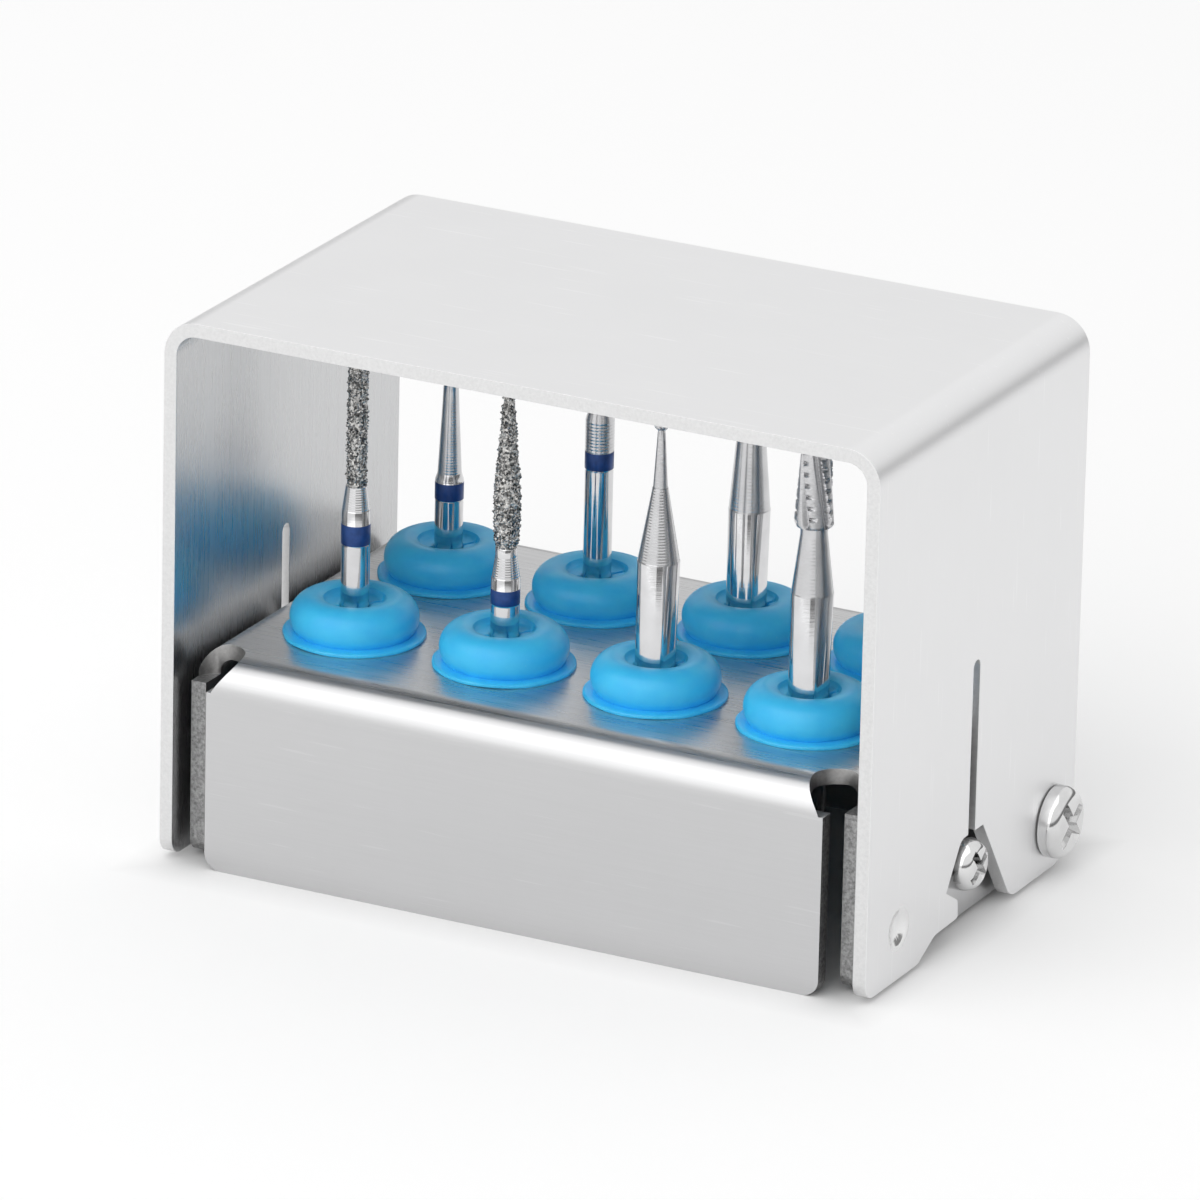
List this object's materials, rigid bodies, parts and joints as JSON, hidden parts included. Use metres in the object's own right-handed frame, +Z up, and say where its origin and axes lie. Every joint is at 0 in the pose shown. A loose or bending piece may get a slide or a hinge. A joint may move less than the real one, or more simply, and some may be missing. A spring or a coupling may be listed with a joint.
{
  "type": "dental bur block",
  "caption": "Folded sheet-steel bur stand with silicone grommets that hold dental burs, under a U-shaped hinged cover that swings back.",
  "frame": {"origin": "middle of the base on the surface it stands on", "axes": "+Z up, -Y out of the front panel, +X to the right seen from the front"},
  "size_m": [0.0462, 0.027, 0.0316],
  "materials": {
    "base_steel": "brushed stainless sheet",
    "cover_steel": "satin stainless sheet",
    "silicone": "matte blue silicone",
    "diamond_bur": "polished shank with blue band and diamond grit",
    "carbide_bur": "polished shank with turned neck and carbide head",
    "screw_steel": "bright nickel-plated"
  },
  "bodies": {
    "base": {"base_block": "base_steel", "grommet_front_1": "silicone", "grommet_front_2": "silicone", "grommet_front_3": "silicone", "grommet_front_4": "silicone", "grommet_rear_1": "silicone", "grommet_rear_2": "silicone", "grommet_rear_3": "silicone", "grommet_rear_4": "silicone", "bur_coarse_cylinder": "diamond_bur", "bur_coarse_taper": "diamond_bur", "bur_long_neck": "diamond_bur", "bur_round_diamond": "diamond_bur", "bur_small_round": "carbide_bur", "bur_crosscut_fissure": "carbide_bur", "bur_straight_fissure": "carbide_bur", "bur_large_round": "carbide_bur", "hinge_screw_left": "screw_steel", "hinge_nut_left": "screw_steel", "stop_screw_left": "screw_steel", "stop_nut_left": "screw_steel", "hinge_screw_right": "screw_steel", "hinge_nut_right": "screw_steel", "stop_screw_right": "screw_steel", "stop_nut_right": "screw_steel"},
    "cover": {"cover": "cover_steel"}
  },
  "joints": [
    {"name": "cover_hinge", "type": "hinge", "parent": "base", "child": "cover", "pos_m": [0, 0.0096, 0.00315], "axis": [-1, 0, 0], "range_deg": [0, 90]}
  ]
}
